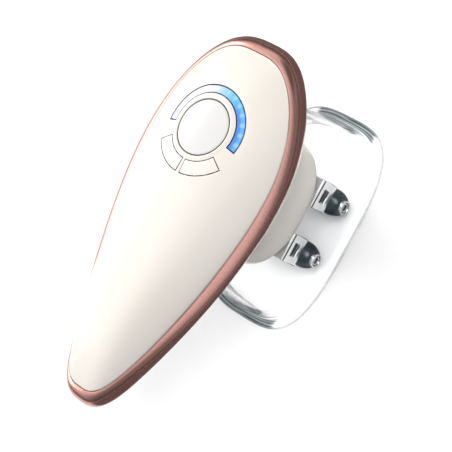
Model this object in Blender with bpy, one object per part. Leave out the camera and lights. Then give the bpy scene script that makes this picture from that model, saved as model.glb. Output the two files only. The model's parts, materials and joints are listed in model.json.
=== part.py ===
# Cordless suction massager with a clear cup and free-running rollers.
# Frame: metres, +Z up, +X toward the wide head, +Y left.  The cup's lip rests on z = 0 and the
# origin is under the middle of the whole length.  The shapes below are drawn in millimetres
# from the cup's centre; place() shifts them to the frame's origin and scales them once.
import math

import bmesh
import bpy
from mathutils import Matrix, Vector
from mathutils.bvhtree import BVHTree

for ob in list(bpy.data.objects):
    bpy.data.objects.remove(ob, do_unlink=True)

MM = 0.001

# ---- driving dimensions (mm) ---------------------------------------------------------
BODY_LENGTH = 205.0        # band, head tip to tail tip
HEAD_REACH = 72.5          # cup centre to head tip
BAND_HALF_WIDTH = 45.4     # half width term of the band's outer outline
DOME_HALF_WIDTH = 38.8     # half width term of the dome's outline
BAND_OUT_HEAD = 7.7        # how far the band stands out past the dome, head tip
BAND_OUT_TAIL = 7.6        # the same, tail tip
BAND_TOP = 95.0            # height of the dome's edge at mid length
BAND_TOP_RISE = 7.0        # rise of that edge toward both tips
BAND_WIDEST = 92.0         # height of the band's widest line
BAND_WIDEST_RISE = 1.9
BAND_DROP = 3.0            # band below its widest line
CROWN = 19.2               # dome height over its edge
CROWN_X = -45.0            # where the crown line is highest
WALL = 2.4                 # shell wall
GAP = 0.3                  # clearance between neighbouring pieces
RIM_GAP = 0.35             # clearance between band and shells

PANEL_X = 19.3             # centre of the round button
BUTTON_R = 14.7
BUTTON_TRAVEL = 2.5
WINDOW_IN = BUTTON_R + 3.7 # light window round the button
WINDOW_OUT = WINDOW_IN + 4.4
WINDOW_HALF_ANGLE = 100.5
KEY_IN = BUTTON_R + 3.3
KEY_OUT = KEY_IN + 7.2
KEY_MID_ANGLE, KEY_HALF_ANGLE = 151.5, 25.5
KEY_TRAVEL = 0.7
PANEL_R = KEY_OUT + 1.0    # circle of the top shell that holds every control
BOARD_R = KEY_OUT + 3.8    # round board under the controls

BELLY_Z = 72.0             # underside of the bottom shell
NECK_X = 1.0               # centre of the neck and of the roller pair
NECK_LEN, NECK_WID = 36.0, 27.0      # half sizes of the neck
NECK_FLOOR = 32.0          # underside of the neck
NECK_POWER = 2.4
PORT_R = 5.0               # suction port in the neck's floor

CUP_LEN, CUP_WID = 62.4, 38.5        # half sizes of the cup's lip
CUP_POWER = 3.4
CUP_WALL = 3.0
COLLAR_TOP = BELLY_Z - 6.5           # the cup's collar sleeves the neck up to the belly
SEAL_Z, SEAL_HIGH, SEAL_IN = 62.3, 2.0, 1.1     # ring in the neck's groove

ROLLER_X = 16.0            # each roller axis from the neck's centre
ROLLER_Z = 9.5
DRUM_R = 7.3
DRUM_IN, DRUM_OUT = 3.8, 27.8        # drum ends, from the centre plane
AXLE_R = 1.5
BORE_GAP = 0.3
HUB_R = 4.0

CELL_R, CELL_LEN = 7.0, 50.0
CELL_X = -73.0
CELL_Z = 95.5

SCREW_HEAD_X, SCREW_HEAD_Y = PANEL_X + BOARD_R + 1.7, 16.0     # screw pair by the head
SCREW_TAIL_X, SCREW_TAIL_Y = -46.0, 23.0    # screw pair behind the neck
JACK_X = -108.0            # charging socket under the tail

N = 48                     # points round the large lofted pieces


# ---- helpers --------------------------------------------------------------------------
def material(name, rgb, rough, metal=0.0, alpha=1.0):
    m = bpy.data.materials.get(name)
    if m:
        return m
    m = bpy.data.materials.new(name)
    m.use_nodes = True
    b = m.node_tree.nodes["Principled BSDF"]
    b.inputs["Base Color"].default_value = (*rgb, 1.0)
    b.inputs["Roughness"].default_value = rough
    b.inputs["Metallic"].default_value = metal
    b.inputs["Alpha"].default_value = alpha
    return m


PEARL = material("pearl_shell", (0.90, 0.87, 0.82), 0.30)
ROSE = material("rose_band", (0.60, 0.33, 0.30), 0.32, 0.9)
CLEAR = material("clear_cup", (0.86, 0.90, 0.89), 0.05, 0.0, 0.35)
WINDOW = material("light_window", (0.25, 0.45, 0.95), 0.15)
NAVY = material("roller_navy", (0.02, 0.05, 0.08), 0.35)
CHROME = material("chrome_trim", (0.80, 0.82, 0.83), 0.15, 1.0)
STEEL = material("steel", (0.55, 0.56, 0.58), 0.30, 1.0)
BOARD = material("board_green", (0.05, 0.22, 0.12), 0.50)
BLACK = material("black_plastic", (0.03, 0.03, 0.035), 0.50)
RUBBER = material("grey_rubber", (0.40, 0.40, 0.42), 0.75)
WHITE = material("white_plastic", (0.80, 0.80, 0.78), 0.45)
CELLWRAP = material("cell_wrap", (0.10, 0.28, 0.45), 0.40)


def place(name, bm, mat, sharp=32.0, origin=None):
    """Turn a bmesh drawn in millimetres into a named object with its origin on `origin`."""
    bmesh.ops.remove_doubles(bm, verts=bm.verts, dist=0.0005)
    bmesh.ops.recalc_face_normals(bm, faces=bm.faces)
    shift = Vector((BODY_LENGTH / 2 - HEAD_REACH, 0.0, 0.0))
    o = Vector(origin) + shift if origin else Vector((0.0, 0.0, 0.0))
    bmesh.ops.translate(bm, vec=shift - o, verts=bm.verts)
    bmesh.ops.scale(bm, vec=(MM, MM, MM), verts=bm.verts)
    me = bpy.data.meshes.new(name)
    bm.to_mesh(me)
    bm.free()
    me.materials.append(mat)
    me.shade_smooth()
    me.set_sharp_from_angle(angle=math.radians(sharp))
    ob = bpy.data.objects.new(name, me)
    ob.location = o * MM
    bpy.context.scene.collection.objects.link(ob)
    return ob


def hoop(rings):
    """Closed ring-shaped body: every ring has the same number of points."""
    bm = bmesh.new()
    vs = [[bm.verts.new(p) for p in ring] for ring in rings]
    k, n = len(vs), len(vs[0])
    for i in range(k):
        a, b = vs[i], vs[(i + 1) % k]
        for j in range(n):
            bm.faces.new((a[j], a[(j + 1) % n], b[(j + 1) % n], b[j]))
    return bm


def stack(rings):
    """Closed solid from rings, with a flat face at both ends."""
    bm = bmesh.new()
    vs = [[bm.verts.new(p) for p in ring] for ring in rings]
    n = len(vs[0])
    for a, b in zip(vs, vs[1:]):
        for j in range(n):
            bm.faces.new((a[j], a[(j + 1) % n], b[(j + 1) % n], b[j]))
    bm.faces.new(vs[0])
    bm.faces.new(list(reversed(vs[-1])))
    return bm


def circle(r, z, n=24, cx=0.0, cy=0.0):
    return [Vector((cx + r * math.cos(2 * math.pi * i / n),
                    cy + r * math.sin(2 * math.pi * i / n), z)) for i in range(n)]


def turn(profile, n=24, axis="Z", at=(0.0, 0.0, 0.0), bored=False):
    """Turned piece from (radius, height) pairs; `bored` closes the profile on itself."""
    rings = [circle(r, z, n) for r, z in profile]
    bm = hoop(rings) if bored else stack(rings)
    if axis == "X":
        bmesh.ops.rotate(bm, matrix=Matrix.Rotation(math.pi / 2, 3, "Y"), verts=bm.verts)
    if axis == "Y":
        bmesh.ops.rotate(bm, matrix=Matrix.Rotation(-math.pi / 2, 3, "X"), verts=bm.verts)
    bmesh.ops.translate(bm, vec=Vector(at), verts=bm.verts)
    return bm


def block(x0, x1, y0, y1, z0, z1, bevel=0.0):
    bm = bmesh.new()
    m = Matrix.Translation(((x0 + x1) / 2, (y0 + y1) / 2, (z0 + z1) / 2)) @ \
        Matrix.Diagonal((x1 - x0, y1 - y0, z1 - z0, 1.0))
    bmesh.ops.create_cube(bm, size=1.0, matrix=m)
    if bevel > 0:
        bmesh.ops.bevel(bm, geom=bm.edges[:], offset=bevel, segments=2, profile=0.5,
                        affect="EDGES", material=-1)
    return bm


def cutter(name, bm):
    ob = place(name, bm, WHITE)
    ob.hide_render = True
    ob.display_type = "WIRE"
    return ob


def boolean(ob, tool, op="DIFFERENCE"):
    m = ob.modifiers.new(tool.name, "BOOLEAN")
    m.operation = op
    m.solver = "EXACT"
    m.object = tool


# ---- outlines and heights ----------------------------------------------------------------
HEAD_TIP = HEAD_REACH
TAIL_TIP = HEAD_REACH - BODY_LENGTH
DOME_HEAD = HEAD_TIP - BAND_OUT_HEAD
DOME_TAIL = TAIL_TIP + BAND_OUT_TAIL


def along(x, head, tail):
    c = (x - (head + tail) / 2) / ((head - tail) / 2)
    return max(-1.0, min(1.0, c))


def egg(c, half, power, k1, k2, k3, k4):
    """Half width of the teardrop at the lengthwise position c (+1 head, -1 tail)."""
    s = max(0.0, 1.0 - abs(c) ** power) ** (1.0 / power)
    return half * s * (1 + k1 * c + k2 * c * c + k3 * c ** 3 + k4 * c ** 4)


def band_half(c):
    return egg(c, BAND_HALF_WIDTH, 2.925, 0.370, -0.373, -0.202, 0.079)


def dome_half(c):
    return egg(c, DOME_HALF_WIDTH, 3.351, 0.412, -0.271, -0.238, -0.046)


def resample(points, n):
    """n points at equal steps along a closed line of points."""
    d = [0.0]
    for a, b in zip(points, points[1:] + points[:1]):
        d.append(d[-1] + (b - a).length)
    out, j = [], 0
    for i in range(n):
        t = d[-1] * i / n
        while d[j + 1] < t:
            j += 1
        a, b = points[j], points[(j + 1) % len(points)]
        out.append(a.lerp(b, (t - d[j]) / max(1e-9, d[j + 1] - d[j])))
    return out


def outline(half, head, tail, n):
    pts = []
    for i in range(720):
        t = 2 * math.pi * i / 720
        c = math.cos(t)
        pts.append(Vector(((head + tail) / 2 + (head - tail) / 2 * c,
                           math.copysign(half(c), math.sin(t)) if i else 0.0, 0.0)))
    return resample(pts, n)


def inset(points, by):
    """Move a closed outline inward by a distance (outward when negative)."""
    out, n = [], len(points)
    for i, p in enumerate(points):
        t = points[(i + 1) % n] - points[i - 1]
        out.append(Vector((p.x - t.y / t.length * by, p.y + t.x / t.length * by, p.z)))
    return out


def oval(half_x, half_y, power, z, n, cx=0.0):
    pts = []
    for i in range(720):
        t = 2 * math.pi * i / 720
        c, s = math.cos(t), math.sin(t)
        pts.append(Vector((cx + half_x * math.copysign(abs(c) ** (2 / power), c),
                           half_y * math.copysign(abs(s) ** (2 / power), s), z)))
    return resample(pts, n)


def edge_z(x):
    """Height of the dome's edge (the band's upper edge)."""
    c = along(x, DOME_HEAD, DOME_TAIL)
    return BAND_TOP + 0.9 * c + BAND_TOP_RISE * c * c


def widest_z(x):
    c = along(x, HEAD_TIP, TAIL_TIP)
    return BAND_WIDEST + 0.7 * c + BAND_WIDEST_RISE * c * c


def dome_z(x, y):
    """Height of the top shell's outside."""
    if x > CROWN_X:
        t, a = (x - CROWN_X) / (DOME_HEAD - CROWN_X), 3.663
    else:
        t, a = (CROWN_X - x) / (CROWN_X - DOME_TAIL), 2.390
    crown = CROWN * (1 - min(1.0, t) ** a)
    c = along(x, DOME_HEAD, DOME_TAIL)
    w = (c + 1) / 2
    p, q = 2.09 * w + 3.6 * (1 - w), 1.0 * w + 1.25 * (1 - w)
    r = min(1.0, abs(y) / max(0.001, dome_half(c)))
    return edge_z(x) + crown * (1 - r ** p) ** (1 / q)


def blend(a, b, t):
    return [p.lerp(q, t) for p, q in zip(a, b)]


def at_z(points, f):
    return [Vector((p.x, p.y, f(p))) for p in points]


DOME_LINE = outline(dome_half, DOME_HEAD, DOME_TAIL, N)
BAND_LINE = outline(band_half, HEAD_TIP, TAIL_TIP, N)


def band_pos(t):
    return blend(DOME_LINE, BAND_LINE, t)


# the two outlines pair up point by point, so heights are taken from the parent points
EDGE = [edge_z(p.x) for p in DOME_LINE]
WIDE = [widest_z(p.x) for p in BAND_LINE]


def raised(points, heights, dz=0.0):
    return [Vector((p.x, p.y, h + dz)) for p, h in zip(points, heights)]


# ---- trim band -----------------------------------------------------------------------------
rings = []
for k in range(6):
    a = math.radians(90 * k / 5)
    h = [e + (w - e) * (1 - math.cos(a)) for e, w in zip(EDGE, WIDE)]
    rings.append(raised(band_pos(math.sin(a)), h))
rings.append(raised(band_pos(0.95), WIDE, -0.55 * BAND_DROP))
rings.append(raised(band_pos(0.80), WIDE, -BAND_DROP))
rings.append(raised(band_pos(0.0), WIDE, -BAND_DROP))
place("trim_band", hoop(rings), ROSE, 40)

# ---- top shell -------------------------------------------------------------------------------
hole = BUTTON_R + GAP
seat_out, seat_in = inset(DOME_LINE, RIM_GAP), inset(DOME_LINE, RIM_GAP + WALL)


def panel_ring(r):
    return circle(r, 0.0, N, PANEL_X)


def shell_ring(rim, s):
    return blend(panel_ring(PANEL_R), rim, s)


steps = (0.0, 0.20, 0.40, 0.58, 0.76, 0.90, 1.0)
outer = [at_z(panel_ring(r), lambda p: dome_z(p.x, p.y)) for r in (hole, BUTTON_R + 5.8)]
outer += [at_z(shell_ring(seat_out, s), lambda p: dome_z(p.x, p.y)) for s in steps]
skirt = [raised(seat_out, WIDE, GAP), raised(seat_in, WIDE, GAP)]
inner = []
for s in reversed(steps):
    inner.append([Vector((q.x, q.y, dome_z(p.x, p.y) - WALL)) for p, q in
                  zip(shell_ring(seat_out, s), shell_ring(seat_in, s))])
inner += [at_z(panel_ring(r), lambda p: dome_z(p.x, p.y) - WALL) for r in (BUTTON_R + 5.8, hole)]
top = place("top_shell", hoop(outer + skirt + inner), PEARL, 40)


def sector(r0, r1, a0, a1, n, low, high):
    """Body over an arc of a ring; low and high give the heights at (x, y)."""
    bm = bmesh.new()
    grid = []
    for i in range(n + 1):
        a = math.radians(a0 + (a1 - a0) * i / n)
        row = []
        for r, f in ((r0, low), (r1, low), (r1, high), (r0, high)):
            x, y = PANEL_X + r * math.cos(a), r * math.sin(a)
            row.append(bm.verts.new((x, y, f(x, y))))
        grid.append(row)
    for a, b in zip(grid, grid[1:]):
        for j in range(4):
            bm.faces.new((a[j], a[(j + 1) % 4], b[(j + 1) % 4], b[j]))
    bm.faces.new(grid[0])
    bm.faces.new(list(reversed(grid[-1])))
    return bm


def flat(z):
    return lambda x, y: z


def below(d):
    return lambda x, y: dome_z(x, y) - d


def merge(a, b):
    me = bpy.data.meshes.new("tmp")
    b.to_mesh(me)
    b.free()
    a.from_mesh(me)
    bpy.data.meshes.remove(me)
    return a


deg = math.degrees(GAP / 20.0)
boolean(top, cutter("cut_window", sector(WINDOW_IN - GAP, WINDOW_OUT + GAP,
                                         -WINDOW_HALF_ANGLE - deg, WINDOW_HALF_ANGLE + deg, 24,
                                         flat(90.0), flat(125.0))))
for side, tag in ((1, "left"), (-1, "right")):
    a0 = side * (KEY_MID_ANGLE - KEY_HALF_ANGLE - deg)
    a1 = side * (KEY_MID_ANGLE + KEY_HALF_ANGLE + deg)
    boolean(top, cutter("cut_key_" + tag, sector(KEY_IN - GAP, KEY_OUT + GAP, a0, a1, 8,
                                                 flat(90.0), flat(125.0))))

# ---- light window, keys and release button -------------------------------------------------
place("led_window", sector(WINDOW_IN, WINDOW_OUT, -WINDOW_HALF_ANGLE, WINDOW_HALF_ANGLE, 24,
                           flat(105.2), below(0.15)), WINDOW, 30)


def key(name, side):
    """Arc key with a flange under the shell and a post over its switch."""
    a0, a1 = KEY_MID_ANGLE - KEY_HALF_ANGLE, KEY_MID_ANGLE + KEY_HALF_ANGLE
    mid = math.radians(KEY_MID_ANGLE) * side
    r = (KEY_IN + KEY_OUT) / 2
    px, py = PANEL_X + r * math.cos(mid), r * math.sin(mid)
    ob = place(name, sector(KEY_IN, KEY_OUT, side * a0, side * a1, 8,
                            below(WALL + GAP + 1.4), below(-0.25)), PEARL, 30,
               (px, py, 108.0))
    post = cutter("post_" + name, turn([(1.8, 105.0), (1.8, 111.0)], 12, "Z", (px, py, 0)))
    lug = cutter("lug_" + name, sector(KEY_IN - 0.9, KEY_OUT + 0.9, side * (a0 + 6),
                                       side * (a1 - 6), 6, below(WALL + GAP + 1.2),
                                       below(WALL + GAP)))
    boolean(ob, lug, "UNION")
    boolean(ob, post, "UNION")
    return px, py


KEY_L = key("power_key", 1)
KEY_R = key("light_key", -1)

r = BUTTON_R
prof = [(r, below(WALL + GAP + 1.2)), (r, below(0.6)), (r - 0.5, below(0.05)),
        (r - 1.3, below(-0.15)), (9.0, below(-0.45))]
rings = [at_z(circle(3.0, 0, 24, PANEL_X), lambda p: 99.4),
         at_z(circle(3.0, 0, 24, PANEL_X), lambda p: 109.4),
         at_z(circle(r + 1.2, 0, 24, PANEL_X), lambda p: dome_z(p.x, p.y) - WALL - GAP - 1.4),
         at_z(circle(r + 1.2, 0, 24, PANEL_X), lambda p: dome_z(p.x, p.y) - WALL - GAP)]
for rad, f in prof[1:]:
    rings.append(at_z(circle(rad, 0, 24, PANEL_X), lambda p, g=f: g(p.x, p.y)))
rings.insert(4, at_z(circle(r, 0, 24, PANEL_X), lambda p: dome_z(p.x, p.y) - WALL - GAP))
rings.append(at_z(circle(3.0, 0, 24, PANEL_X), lambda p: dome_z(PANEL_X, 0) + 0.6))
place("release_button", stack(rings), WHITE, 35, (PANEL_X, 0, 110.0))

# ---- bottom shell with its neck ----------------------------------------------------------------
def neck(z, grow=0.0):
    return oval(NECK_LEN + grow, NECK_WID + grow, NECK_POWER, z, N, NECK_X)


RIM_Z = [w - BAND_DROP - RIM_GAP for w in WIDE]


def belly(t, drop, shrink=0.0):
    """Ring of the bottom shell between the rim (t=0) and the neck's root (t=1)."""
    rim = inset(band_pos(0.60), shrink)
    root = neck(0.0, 5.0 - shrink)
    out = []
    for p, q, h in zip(rim, root, RIM_Z):
        tail = max(0.0, min(1.0, (10.0 - p.x) / 110.0))
        m = 1.5 - 0.15 * tail
        f = (1 - (1 - t) ** m) ** (1 / m)
        out.append(Vector((p.x + (q.x - p.x) * t, p.y + (q.y - p.y) * t,
                           h + (BELLY_Z + drop - h) * f)))
    return out


tongue_in, tongue_out = inset(DOME_LINE, RIM_GAP + WALL), inset(DOME_LINE, RIM_GAP)
g0, g1, deep = SEAL_Z - GAP, SEAL_Z + SEAL_HIGH + GAP, -SEAL_IN - GAP      # the seal's groove
neck_steps = ((BELLY_Z - 1.4, 1.6), (BELLY_Z - 5.0, 0.3), (g1 + 0.1, 0.0), (g1, deep), (g0, deep),
              (g0 - 0.1, 0.0), (NECK_FLOOR + 6.0, -0.6), (NECK_FLOOR + 1.7, -2.2),
              (NECK_FLOOR, -6.0))
belly_steps = (0.0, 0.04, 0.14, 0.32, 0.62, 1.0)
outer = [raised(tongue_out, WIDE), raised(tongue_out, RIM_Z)]
outer += [belly(t, 0.0) for t in belly_steps]
outer += [neck(z, g) for z, g in neck_steps]
outer.append(circle(PORT_R, NECK_FLOOR, N, NECK_X))
inner = [circle(PORT_R, NECK_FLOOR + WALL, N, NECK_X)]
inner += [neck(NECK_FLOOR + WALL, -6.6), neck(NECK_FLOOR + WALL + 3.0, -3.4),
          neck(BELLY_Z - 4.0, -WALL), neck(BELLY_Z + WALL - 0.4, 0.0)]
inner += [belly(t, WALL, WALL) for t in (0.62, 0.32, 0.14, 0.04)]
inner.append([Vector((p.x, p.y, h)) for p, h in zip(tongue_in, RIM_Z)])
inner.append(raised(tongue_in, WIDE))
bottom = place("bottom_shell", hoop(outer + inner), PEARL, 40)

# ---- suction cup and its seal --------------------------------------------------------------------
def cup(x_half, y_half, z, power=CUP_POWER):
    return oval(x_half, y_half, power, z, 44, 0.0)


def collar(grow, z):
    return oval(NECK_LEN + grow, NECK_WID + grow, NECK_POWER, z, 44, NECK_X)


A, B, W = CUP_LEN, CUP_WID, CUP_WALL
wall_line = ((4.4, 4.4, 3.4, 3.4), (5.2, 5.0, 9.0, 3.4), (6.2, 5.6, 18.0, 3.3),
             (8.2, 6.1, 29.0, 3.1), (11.6, 6.7, 40.0, 2.9), (17.0, 7.4, 50.0, 2.7))
outer = [cup(A - 1.2, B - 1.2, 0.0), cup(A, B, 0.9), cup(A, B, 2.0), cup(A - 1.4, B - 1.4, 2.9)]
outer += [cup(A - a, B - b, z, p) for a, b, z, p in wall_line]
outer += [collar(RIM_GAP + W, 57.0), collar(RIM_GAP + W - 0.2, COLLAR_TOP)]
inner = [collar(RIM_GAP, COLLAR_TOP), collar(RIM_GAP, 53.6)]
inner += [cup(A - a - W, B - b - W * (0.8 if b > 6.5 else 1.0), z - 1.5, p)
          for a, b, z, p in reversed(wall_line[1:])]
inner.append(cup(A - 5.8, B - 5.8, 0.0))
place("suction_cup", hoop(outer + inner), CLEAR, 35)

rings = [collar(-SEAL_IN, SEAL_Z), collar(RIM_GAP - GAP - 0.3, SEAL_Z),
         collar(RIM_GAP - GAP, SEAL_Z + SEAL_HIGH / 2), collar(RIM_GAP - GAP - 0.3, SEAL_Z + SEAL_HIGH),
         collar(-SEAL_IN, SEAL_Z + SEAL_HIGH)]
place("cup_seal", hoop(rings), RUBBER, 30)

# ---- rollers -----------------------------------------------------------------------------------------
for side, tag in ((1, "front"), (-1, "rear")):
    x = NECK_X + side * ROLLER_X
    plate = 24.0
    bm = block(x - 8, x + 8, -plate, plate, NECK_FLOOR - 3.4, NECK_FLOOR - GAP)
    carrier = place("roller_carrier_" + tag, bm, CHROME, 30)
    for s in (1, -1):
        a, b = sorted((s * (plate - 2.2), s * plate))
        t = cutter("plate_%s_%d" % (tag, s), block(x - 8, x + 8, a, b,
                                                   ROLLER_Z + DRUM_R + 0.4, NECK_FLOOR - 2.0))
        boolean(carrier, t, "UNION")
    t = cutter("web_" + tag, block(x - 5.5, x + 5.5, -3.4, 3.4, ROLLER_Z - 4.0, NECK_FLOOR - 2.0))
    boolean(carrier, t, "UNION")
    t = cutter("bore_" + tag, turn([(AXLE_R + BORE_GAP, -10), (AXLE_R + BORE_GAP, 10)], 20, "Y",
                                   (x, 0, ROLLER_Z)))
    boolean(carrier, t)
    t = cutter("sight_" + tag, block(x - 3.6, x + 3.6, -plate - 5, plate + 5, 21.0, 26.0))
    s = cutter("sight_in_" + tag, block(x - 8.5, x + 8.5, -9.0, 9.0, 20.0, 27.0))
    boolean(t, s)
    boolean(carrier, t)
    place("axle_" + tag, turn([(AXLE_R, -DRUM_OUT - 0.4), (AXLE_R, DRUM_OUT + 0.4)], 20, "Y",
                              (x, 0, ROLLER_Z)), STEEL, 30, (x, 0, ROLLER_Z))
    for s, hand in ((1, "left"), (-1, "right")):
        lo, hi, R = DRUM_IN, DRUM_OUT, DRUM_R
        pr = [(AXLE_R + BORE_GAP, s * lo), (R - 1.2, s * lo), (R - 0.3, s * (lo + 0.7)),
              (R, s * (lo + 2.5)), (R, s * (hi - 6.5)), (R - 0.5, s * (hi - 3.8)),
              (R - 1.4, s * (hi - 1.6)), (R - 2.6, s * hi), (AXLE_R + BORE_GAP, s * hi)]
        place("drum_%s_%s" % (tag, hand), turn(pr, 20, "Y", (x, 0, ROLLER_Z), True), NAVY, 30,
              (x, 0, ROLLER_Z))
        c0 = hi + GAP
        pr = [(AXLE_R + BORE_GAP, s * c0), (HUB_R, s * c0), (HUB_R, s * (c0 + 0.9)),
              (HUB_R - 0.6, s * (c0 + 1.4)), (AXLE_R + 0.9, s * (c0 + 1.4)),
              (AXLE_R + BORE_GAP, s * (c0 + 0.8))]
        place("hub_cap_%s_%s" % (tag, hand), turn(pr, 20, "Y", (x, 0, ROLLER_Z), True), CHROME, 30,
              (x, 0, ROLLER_Z))

# ---- electronics behind the panel --------------------------------------------------------------------
BOARD_Z = 100.0
board = place("control_board", turn([(6.0, BOARD_Z), (BOARD_R, BOARD_Z), (BOARD_R, BOARD_Z + 1.6),
                                     (6.0, BOARD_Z + 1.6)], 36, "Z", (PANEL_X, 0, 0), True),
              BOARD, 30)
led = place("led_strip", sector(WINDOW_IN + 0.6, WINDOW_OUT - 0.6, -96, 96, 18,
                                flat(BOARD_Z + 1.6 + GAP), flat(BOARD_Z + 3.2)), WHITE, 30)
LED_R = (WINDOW_IN + WINDOW_OUT) / 2
for i in range(7):
    a = math.radians(-84 + 28 * i)
    x, y = PANEL_X + LED_R * math.cos(a), LED_R * math.sin(a)
    c = cutter("led_%d" % i, turn([(1.3, BOARD_Z + 2.6), (1.3, BOARD_Z + 4.4), (0.8, BOARD_Z + 4.8)],
                                  8, "Z", (x, y, 0)))
    boolean(led, c, "UNION")
for nm, (x, y) in (("power_switch", KEY_L), ("light_switch", KEY_R)):
    ob = place(nm, block(x - 3, x + 3, y - 3, y + 3, BOARD_Z + 1.6 + GAP, BOARD_Z + 4.0), BLACK, 30)
    c = cutter("cap_" + nm, turn([(1.6, BOARD_Z + 3.6), (1.6, 104.2)], 12, "Z", (x, y, 0)))
    boolean(ob, c, "UNION")


def coil(radius, wire, z0, z1, turns, steps, cx, sides=5):
    """Compression spring with both ends closed flat."""
    rings = []
    total = int(turns * steps)
    for i in range(total + 1):
        f = i / total
        a = 2 * math.pi * turns * f
        g = max(0.0, min(1.0, (f * turns - 0.75) / (turns - 1.5)))
        z = z0 + wire + (z1 - z0 - 2 * wire) * g
        c = Vector((math.cos(a), math.sin(a), 0))
        ring = []
        for j in range(sides):
            b = 2 * math.pi * j / sides
            ring.append(Vector((cx, 0, z)) + c * (radius + wire * math.cos(b)) +
                        Vector((0, 0, wire * math.sin(b))))
        rings.append(ring)
    return stack(rings)


SPRING_Z0, SPRING_Z1 = BOARD_Z + 1.6 + 0.1, 108.3
place("button_spring", coil(8.5, 0.45, SPRING_Z0, SPRING_Z1 - 0.1, 4.0, 12, PANEL_X), STEEL, 40,
      (PANEL_X, 0, SPRING_Z0))

# ---- release valve ------------------------------------------------------------------------------------
VALVE_Z0, VALVE_Z1 = 79.0, 92.0
place("valve_body", turn([(1.2, VALVE_Z0 - 3.0), (1.2, VALVE_Z0), (7.0, VALVE_Z0), (7.0, VALVE_Z1),
                          (2.6, VALVE_Z1), (2.6, VALVE_Z0 + 1.4), (0.6, VALVE_Z0 + 1.4),
                          (0.6, VALVE_Z0 - 3.0)], 24, "Z", (PANEL_X, 0, 0), True), BLACK, 30)
place("valve_stem", turn([(2.2, 83.4), (2.2, 95.0), (4.6, 95.4), (4.6, 97.0), (2.2, 97.4),
                          (2.2, 99.1)], 20, "Z", (PANEL_X, 0, 0)), WHITE, 30, (PANEL_X, 0, 90.0))

# ---- chassis, pump and air path ------------------------------------------------------------------------
CH_Z0, CH_Z1 = BELLY_Z + WALL + 1.4, BELLY_Z + WALL + 3.4
ch = place("chassis", stack([oval(39, 24, 3.0, CH_Z0, 40, NECK_X), oval(39, 24, 3.0, CH_Z1, 40,
                                                                       NECK_X)]), WHITE, 30)
boolean(ch, cutter("chassis_bore", turn([(5.2, CH_Z0 - 5), (5.2, CH_Z1 + 5)], 24, "Z",
                                        (PANEL_X, 0, 0))))
MOTOR_Z = 57.5
place("pump_motor", turn([(4.0, -30.0), (11.0, -29.4), (11.0, -3.0), (4.5, -2.6), (4.5, -1.4),
                          (1.0, -1.3), (1.0, 2.0)], 28, "X", (NECK_X, 0, MOTOR_Z)), STEEL, 30,
      (NECK_X - 12, 0, MOTOR_Z))
place("pump_crank", turn([(1.3, -1.0), (5.0, -1.0), (5.0, 2.2), (1.3, 2.2)], 24, "X",
                         (NECK_X, 0, MOTOR_Z), True), WHITE, 30, (NECK_X, 0, MOTOR_Z))
head = place("pump_head", block(NECK_X + 3.0, NECK_X + 23.0, -12, 12, MOTOR_Z - 11, MOTOR_Z + 11,
                                1.2), BLACK, 30)
nip = cutter("pump_nipple", turn([(1.2, NECK_X + 22.0), (1.2, NECK_X + 26.0)], 12, "X",
                                 (0, 0, MOTOR_Z - 5.5)))
boolean(head, nip, "UNION")
PORT_Z = NECK_FLOOR + WALL + 3.2     # height of the hose spigots on the manifold
man = place("suction_manifold", turn([(PORT_R - 1.2, NECK_FLOOR + WALL + GAP),
                                      (6.6, NECK_FLOOR + WALL + GAP), (6.6, PORT_Z + 1.9),
                                      (5.4, PORT_Z + 2.6), (1.4, PORT_Z + 2.6),
                                      (1.4, PORT_Z + 1.9), (PORT_R - 1.2, PORT_Z + 1.5)], 24,
                                     "Z", (NECK_X, 0, 0), True), BLACK, 30)
boolean(man, cutter("spigot_x", turn([(1.2, NECK_X + 5.0), (1.2, NECK_X + 11.0)], 12, "X",
                                     (0, 0, PORT_Z))), "UNION")
boolean(man, cutter("spigot_y", turn([(1.2, 5.0), (1.2, 11.0)], 12, "Y",
                                     (NECK_X, 0, PORT_Z))), "UNION")
place("port_filter", turn([(PORT_R - 0.4, NECK_FLOOR + GAP), (PORT_R - 0.4, NECK_FLOOR + 1.6)],
                          24, "Z", (NECK_X, 0, 0)), STEEL, 30)


def tube(path, r_in, r_out, sides=10, cuts=3):
    """Soft hose along a smooth line through the path's points."""
    pts = [Vector(p) for p in path]
    pts = [pts[0] * 2 - pts[1]] + pts + [pts[-1] * 2 - pts[-2]]
    line = []
    for i in range(1, len(pts) - 2):
        a, b, c, d = pts[i - 1:i + 3]
        for k in range(cuts):
            t = k / cuts
            line.append(0.5 * ((2 * b) + (c - a) * t + (2 * a - 5 * b + 4 * c - d) * t * t +
                               (3 * b - a - 3 * c + d) * t ** 3))
    line.append(pts[-2])
    up = Vector((0.0, 1.0, 0.02)) if abs(path[0][1] - path[-1][1]) < 1 else Vector((0.3, -0.4, 1))
    rings_out, rings_in = [], []
    side = None
    for i, p in enumerate(line):
        d = (line[min(i + 1, len(line) - 1)] - line[max(i - 1, 0)]).normalized()
        side = (side or up) - d * d.dot(side or up)
        side.normalize()
        other = d.cross(side)
        for rr, store in ((r_out, rings_out), (r_in, rings_in)):
            store.append([p + side * rr * math.cos(2 * math.pi * j / sides) +
                          other * rr * math.sin(2 * math.pi * j / sides) for j in range(sides)])
    return hoop(rings_out + list(reversed(rings_in)))


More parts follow.
